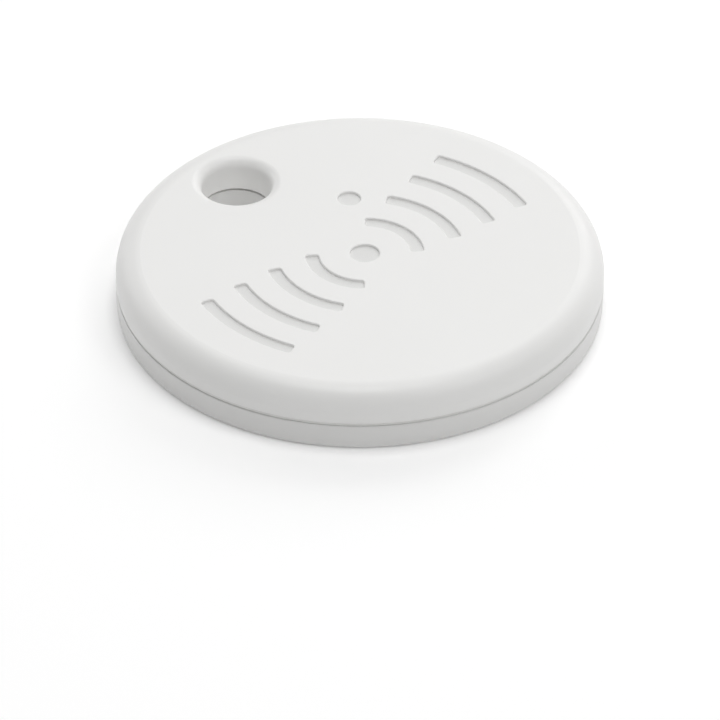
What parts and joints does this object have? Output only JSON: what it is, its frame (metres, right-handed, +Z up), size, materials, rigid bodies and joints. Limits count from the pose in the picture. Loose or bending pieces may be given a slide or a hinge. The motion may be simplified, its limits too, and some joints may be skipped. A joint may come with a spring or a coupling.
{
  "type": "bluetooth tracker tag",
  "caption": "Round white key-finder tag: a pressable cover snapped to a base round a coin cell, board and sounder, with a keyring hole near the rim.",
  "frame": {"origin": "centre of the underside, which is the lowest point of the tag at rest", "axes": "+Z up through the tag's thickness, out of the pressable cover; +Y from the centre towards the keyring hole"},
  "size_m": [0.0379, 0.0378, 0.0051],
  "materials": {
    "cover_plastic": "fine satin moulding",
    "base_plastic": "fine satin moulding",
    "silicone": "soft matt silicone",
    "frame_plastic": "natural acetal, satin",
    "cradle_plastic": "black glass-filled nylon",
    "board_laminate": "solder mask, satin",
    "chip_epoxy": "moulded epoxy",
    "switch_body": "moulded nylon",
    "lid_metal": "nickel plated",
    "ferrite": "matt ferrite",
    "copper": "enamelled copper",
    "gold_plate": "immersion gold",
    "solder": "tinned",
    "capacitor_body": "barium titanate",
    "resistor_body": "glazed film on alumina",
    "spring_steel": "nickel plated spring strip",
    "cell_steel": "nickel plated steel",
    "cell_plastic": "polypropylene",
    "cell_fill": "pressed powder and foil",
    "foam": "closed-cell foam",
    "adhesive": "clear tacky film",
    "amber_film": "polyimide film",
    "sounder_brass": "rolled brass",
    "sounder_ceramic": "fired piezo ceramic",
    "sounder_silver": "printed silver"
  },
  "bodies": {
    "base": {"bottom_shell": "base_plastic", "perimeter_gasket": "silicone", "keyring_seal": "silicone", "circuit_board": "board_laminate", "bluetooth_chip": "chip_epoxy", "driver_chip": "chip_epoxy", "chip_leads": "solder", "main_crystal": "lid_metal", "clock_crystal": "lid_metal", "boost_inductor": "ferrite", "inductor_winding": "copper", "bulk_capacitors": "capacitor_body", "chip_capacitors": "capacitor_body", "chip_resistors": "resistor_body", "passive_terminals": "solder", "antenna_trace": "gold_plate", "test_pads": "gold_plate", "switch_housing": "switch_body", "switch_lid": "lid_metal", "switch_dome": "spring_steel", "switch_terminals": "solder", "battery_cradle": "cradle_plastic", "positive_contact": "spring_steel", "negative_contact": "spring_steel", "insulator_film": "amber_film", "piezo_adhesive": "adhesive", "piezo_plate": "sounder_brass", "piezo_ceramic": "sounder_ceramic", "piezo_electrode": "sounder_silver", "piezo_contacts": "spring_steel"},
    "cover": {"top_shell": "cover_plastic", "cell_cushion": "foam"},
    "cover_frame": {"snap_frame": "frame_plastic", "snap_fingers": "frame_plastic"},
    "plunger": {"switch_plunger": "switch_body"},
    "cell": {"cell_can": "cell_steel", "cell_cap": "cell_steel", "cell_grommet": "cell_plastic", "cell_core": "cell_fill"}
  },
  "joints": [
    {"name": "cover_lift", "type": "slide", "parent": "base", "child": "cover_frame", "axis": [0, 0, 1], "range_m": [0, 0.016], "deforming": ["snap_fingers"]},
    {"name": "cover_press", "type": "slide", "parent": "cover_frame", "child": "cover", "axis": [0, 0, -1], "range_m": [0, 0.00015], "stiffness_N_per_m": 2000, "deforming": ["perimeter_gasket", "cell_cushion"]},
    {"name": "plunger_travel", "type": "slide", "parent": "base", "child": "plunger", "axis": [0, 0, -1], "range_m": [0, 0.00014], "deforming": ["switch_dome"]},
    {"name": "cell_lift", "type": "slide", "parent": "base", "child": "cell", "axis": [0, 0, 1], "range_m": [0, 0.008]}
  ],
  "couplings": [
    {"joint": "plunger_travel", "follows": "cover_press", "ratio": 0.9},
    {"joint": "cell_lift", "follows": "cover_lift", "ratio": 0.5}
  ]
}
